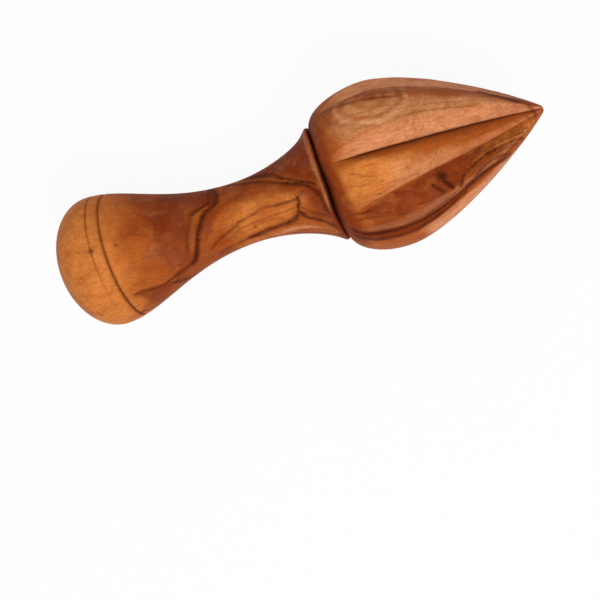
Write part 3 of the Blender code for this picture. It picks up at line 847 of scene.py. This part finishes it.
class Graph:
    """Shorthand for building the nodes of a material or a world."""

    def __init__(self, owner):
        owner.use_nodes = True
        self.nodes = owner.node_tree.nodes
        self.links = owner.node_tree.links

    def put(self, socket, value):
        if isinstance(value, bpy.types.NodeSocket):
            self.links.new(value, socket)
        elif socket.type == "RGBA":
            socket.default_value = (*value, 1)
        else:
            socket.default_value = value

    def node(self, kind, inputs, **settings):
        """The outputs of a new node, given its settings and its inputs by name or number."""
        made = self.nodes.new("ShaderNode" + kind)
        for name, value in settings.items():
            setattr(made, name, value)
        for name, value in inputs.items():
            self.put(made.inputs[name], value)
        return made.outputs

    def maths(self, operation, a, b=0.0, clamp=False):
        return self.node("Math", {0: a, 1: b}, operation=operation, use_clamp=clamp)[0]

    def times(self, a, b):
        return self.maths("MULTIPLY", a, b)

    def plus(self, a, b):
        return self.maths("ADD", a, b)

    def remap(self, value, low, high, to_low=0.0, to_high=1.0):
        inputs = {"Value": value, "From Min": low, "From Max": high}
        inputs.update({"To Min": to_low, "To Max": to_high})
        return self.node("MapRange", inputs, interpolation_type="SMOOTHSTEP")["Result"]

    def mix(self, share, a, b):
        return self.node("Mix", {"Factor": share, "A": a, "B": b}, data_type="RGBA")["Result"]

    def attribute(self, name):
        return self.node("Attribute", {}, attribute_name=name)["Vector"]

    def parts(self, vector):
        return self.node("SeparateXYZ", {0: vector})

    def joined(self, x, y, z):
        return self.node("CombineXYZ", {0: x, 1: y, 2: z})[0]

    def vector_maths(self, operation, a, b):
        return self.node("VectorMath", {0: a, 1: b}, operation=operation)

    def scaled(self, vector, factors):
        return self.vector_maths("MULTIPLY", vector, factors)["Vector"]

    def distance(self, vector, place):
        return self.vector_maths("DISTANCE", vector, place)["Value"]

    def noise(self, vector, scale, detail=3.0, roughness=0.55):
        inputs = {"Vector": vector, "Scale": scale, "Detail": detail, "Roughness": roughness}
        return self.node("TexNoise", inputs)["Fac"]

    def bump(self, height, strength, distance, **normal):
        """Relief on top of the surface, or of another relief whose Normal is given."""
        inputs = {"Height": height, "Strength": strength, "Distance": distance, **normal}
        return self.node("Bump", inputs)["Normal"]


# Colours of the oiled wood, linear: the ground and its tints, partly painted light and shade, the dark
# grain, figure, and settled oil with painted shade, and how tinted and how strong its gloss is
ORANGE = (0.45, 0.108, 0.018)
GOLD = (0.72, 0.238, 0.052)
PLUM = (0.185, 0.025, 0.0055)
VIOLET = (0.19, 0.05, 0.034)
PALE = (0.72, 0.305, 0.118)
PINK = (0.85, 0.345, 0.158)
RUST = (0.42, 0.07, 0.008)
KNOT_RING = (0.86, 0.42, 0.19)
DEEP = (0.19, 0.032, 0.005)
UMBER = (0.115, 0.019, 0.004)
LINE = (0.058, 0.009, 0.003)
SETTLED_OIL_AND_SHADE = (0.055, 0.011, 0.003)
SHEEN = (1.0, 0.62, 0.42)
GLOSS = 0.035

# Growth rings on the butt's end: where they are centred, and between which heights they fade in
PITH = (-33.0, 8.0, 0.0)
END_GRAIN = (8.0, 1.0)

WHITE = (1, 1, 1)
FLOOR_HALF = 3.0
FLOOR_COLOUR = (0.8, 0.8, 0.8)
FLOOR_WHITE = (0.3, 1.4, 0.93, 1.0)  # from how near to how far it turns from nearly white to white

# Lamps: place in metres, width and power
LAMPS = {
    "key": ((0.12, -0.52, 0.85), 0.45, 5.6),
    "overhead": ((0.0, -0.05, 1.1), 0.6, 3.7),
    "fill": ((0.05, 0.6, 0.42), 0.5, 0.7),
}
LAMPS_AIM = (0, 0, 0.02)
WORLD_LIGHT = 0.32

# The camera fitted to the photo: place and aim in millimetres, roll and lens
CAMERA_PLACE = (45.7, 0.0, 403.9)
CAMERA_AIM = (-9.48, -29.88, 22.0)
CAMERA_ROLL = 19.25
CAMERA_LENS = 78.0


def olive_wood(name):
    """Oiled olive wood: figure and painted shading from the surface's own layers, grain, pores and sheen
    from noise.
    """
    material = bpy.data.materials.new(name)
    g = Graph(material)
    upright = g.attribute("upright")
    gold, plum, pale = g.parts(g.attribute("tints"))
    streak, beside, cavity = g.parts(g.attribute("marks"))
    wall, rings, stain_and_shade = g.parts(g.attribute("walls"))

    def field(across, along, detail, roughness=0.55):
        """Noise with its own number of waves to the millimetre across the grain and along it."""
        return g.noise(g.scaled(upright, (across, across, along)), 1.0, detail, roughness)

    mottle = field(0.16, 0.16, 4.0)
    clouds = field(0.34, 0.24, 5.0, 0.6)
    blush = field(0.27, 0.13, 3.0)
    spread = field(0.9, 0.36, 4.0)
    fibres = field(1.9, 0.17, 5.0, 0.62)
    fleck = field(2.4, 0.9, 3.0, 0.65)
    pits = g.remap(field(5.5, 0.55, 2.0, 0.6), 0.62, 0.74)

    # fine growth lines that run along the figure lines and lose themselves away from them
    lined = g.joined(g.plus(beside, g.times(spread, 2.2)), g.times(mottle, 4.0), 0.0)
    fine = g.noise(g.scaled(lined, (1.5, 0.5, 1.0)), 1.0, 4.0, 0.65)
    broad = g.noise(g.scaled(lined, (0.4, 0.3, 1.0)), 1.0, 2.0)

    # growth rings round a pith outside the tool, which show on the butt's end alone
    from_pith = g.distance(g.scaled(upright, (1.0, 1.0, 0.0)), PITH)
    wavy = g.plus(g.plus(from_pith, g.times(mottle, 5.0)), spread)
    ringed = g.noise(g.joined(wavy, g.times(mottle, 2.0), 0.0), 0.75, 4.0, 0.6)
    on_end = g.remap(g.parts(upright)[2], *END_GRAIN)

    colour = g.mix(g.times(gold, g.remap(mottle, 0.2, 0.7, 0.75, 1.0)), ORANGE, GOLD)
    # The walls channel carries painted light and highlights as pink and painted shade on the dark walls;
    # the stain channel is partly painted shade
    shaded_wall = g.maths("MAXIMUM", g.times(wall, -1.0), 0.0)
    tints = (
        (pale, PALE),
        (rings, KNOT_RING),
        (g.times(plum, g.remap(broad, 0.25, 0.6, 0.75, 1.0)), PLUM),
        (g.times(plum, g.remap(mottle, 0.46, 0.66, 0.0, 0.55)), VIOLET),
        (g.maths("MAXIMUM", wall, 0.0), PINK),
        (g.times(shaded_wall, 0.6), DEEP),
        (g.times(stain_and_shade, 0.9), PLUM),
        (g.remap(blush, 0.5, 0.72, 0.0, 0.4), RUST),
        (g.remap(blush, 0.5, 0.28, 0.0, 0.22), GOLD),
    )
    for share, tint in tints:
        colour = g.mix(share, colour, tint)

    # darker tones, from blotches several millimetres across down to single fibres and flecks
    grown = g.times(g.remap(fine, 0.38, 0.68, 0.0, 0.6), g.remap(beside, 2.0, 12.0, 1.0, 0.4))
    tones = (
        (grown, 0.55),
        (g.remap(clouds, 0.38, 0.66, 0.0, 0.5), 0.45),
        (g.remap(fibres, 0.45, 0.68, 0.0, 0.5), 0.5),
        (g.remap(fleck, 0.4, 0.7, 0.0, 0.45), 0.5),
    )
    for share, depth in tones:
        colour = g.mix(share, colour, g.mix(depth, colour, DEEP))
    colour = g.mix(g.remap(fleck, 0.42, 0.25, 0.0, 0.16), colour, PINK)
    end_grain = g.times(g.remap(ringed, 0.44, 0.62, 0.0, 0.75), on_end)
    colour = g.mix(end_grain, colour, g.mix(0.6, colour, DEEP))

    worked = g.times(streak, g.remap(spread, 0.3, 0.7, 0.84, 1.16))
    ragged = g.plus(worked, g.times(g.maths("SUBTRACT", fleck, 0.5), 0.3))
    marks = (
        (g.times(g.remap(ringed, 0.6, 0.7, 0.0, 0.7), on_end), UMBER),
        (g.remap(ragged, 0.02, 0.5, 0.0, 0.6), UMBER),
        (g.remap(ragged, 0.3, 1.0, 0.0, 0.95), LINE),
        (g.times(pits, 0.4), DEEP),
        # the hollows: painted shade in the seam, and settled oil with painted shade in the rings and groove
        # bottoms
        (g.remap(cavity, 0.0, 0.8, 0.0, 0.7), UMBER),
        (g.remap(cavity, 0.4, 1.0, 0.0, 0.8), SETTLED_OIL_AND_SHADE),
    )
    for share, mark in marks:
        colour = g.mix(share, colour, mark)

    polish = g.remap(fleck, 0.3, 0.75, 0.42, 0.56)
    relief = g.maths("SUBTRACT", g.times(fine, 0.4), pits)
    surface = g.bump(relief, strength=0.4, distance=0.12 * MM)
    surface = g.bump(fleck, strength=0.3, distance=0.25 * MM, Normal=surface)
    surface = g.bump(fibres, strength=0.25, distance=0.3 * MM, Normal=surface)
    shader = g.nodes["Principled BSDF"].inputs
    g.put(shader["Base Color"], colour)
    g.put(shader["Roughness"], g.maths("ADD", polish, g.times(cavity, 0.3), clamp=True))
    shader["Specular IOR Level"].default_value = GLOSS
    g.put(shader["Specular Tint"], SHEEN)
    g.put(shader["Normal"], surface)
    return material


def make_floor():
    """A white floor that keeps the tool's soft shadow and shows white to the camera."""
    mesh = bpy.data.meshes.new("floor")
    corners = [(x * FLOOR_HALF, y * FLOOR_HALF, 0) for x, y in ((-1, -1), (1, -1), (1, 1), (-1, 1))]
    mesh.from_pydata(corners, [], [(0, 1, 2, 3)])
    material = bpy.data.materials.new("white_floor")
    mesh.materials.append(material)
    g = Graph(material)
    shader = g.nodes["Principled BSDF"]
    g.put(shader.inputs["Base Color"], FLOOR_COLOUR)
    shader.inputs["Roughness"].default_value = 0.9
    shader.inputs["Specular IOR Level"].default_value = 0.1
    glow = g.node("Emission", {"Color": WHITE})[0]
    position = g.node("NewGeometry", {})["Position"]
    white = g.remap(g.distance(position, (0.0, 0.0, 0.0)), *FLOOR_WHITE)
    seen = g.times(g.node("LightPath", {})["Is Camera Ray"], white)
    both = g.node("MixShader", {0: seen, 1: shader.outputs[0], 2: glow})[0]
    g.put(g.nodes["Material Output"].inputs["Surface"], both)
    floor = add("floor", mesh)


def make_lights():
    for name, (place, size, power) in LAMPS.items():
        data = bpy.data.lights.new(name, "AREA")
        data.shape = "DISK"
        data.size = size
        data.energy = power
        lamp = add(name, data)
        lamp.location = place
        lamp.rotation_mode = "QUATERNION"
        lamp.rotation_quaternion = (Vector(LAMPS_AIM) - Vector(place)).to_track_quat("-Z", "Y")
    world = bpy.data.worlds.new("studio")
    g = Graph(world)
    background = g.nodes["Background"].inputs
    g.put(background["Color"], WHITE)
    seen = g.node("LightPath", {})["Is Camera Ray"]
    inputs = {"Value": seen, "To Min": WORLD_LIGHT, "To Max": 1.0}
    g.put(background["Strength"], g.node("MapRange", inputs)["Result"])
    bpy.context.scene.world = world


def make_camera():
    data = bpy.data.cameras.new("camera")
    data.lens = CAMERA_LENS
    camera = add("camera", data)
    place, aim = Vector(CAMERA_PLACE) * MM, Vector(CAMERA_AIM) * MM
    camera.location = place
    forward = (aim - place).normalized()
    right = forward.cross(Vector((0, 1, 0))).normalized()
    up = right.cross(forward)
    roll = math.radians(CAMERA_ROLL)
    image_up = up * math.cos(roll) + right * math.sin(roll)
    image_right = right * math.cos(roll) - up * math.sin(roll)
    turn = Matrix((image_right, image_up, -forward)).transposed()
    camera.rotation_mode = "QUATERNION"
    camera.rotation_quaternion = turn.to_quaternion()
    bpy.context.scene.camera = camera


def main():
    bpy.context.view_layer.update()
    handle = make_handle()
    head = make_head()
    for piece, node in ((handle, "handle"), (head, "head")):
        slot = "olive_wood_" + node
        piece.data.materials.append(olive_wood(slot))
        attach(piece, "root")
        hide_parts(node)
    make_floor()
    make_lights()
    bpy.context.scene.view_settings.view_transform = "Standard"
    make_camera()


main()
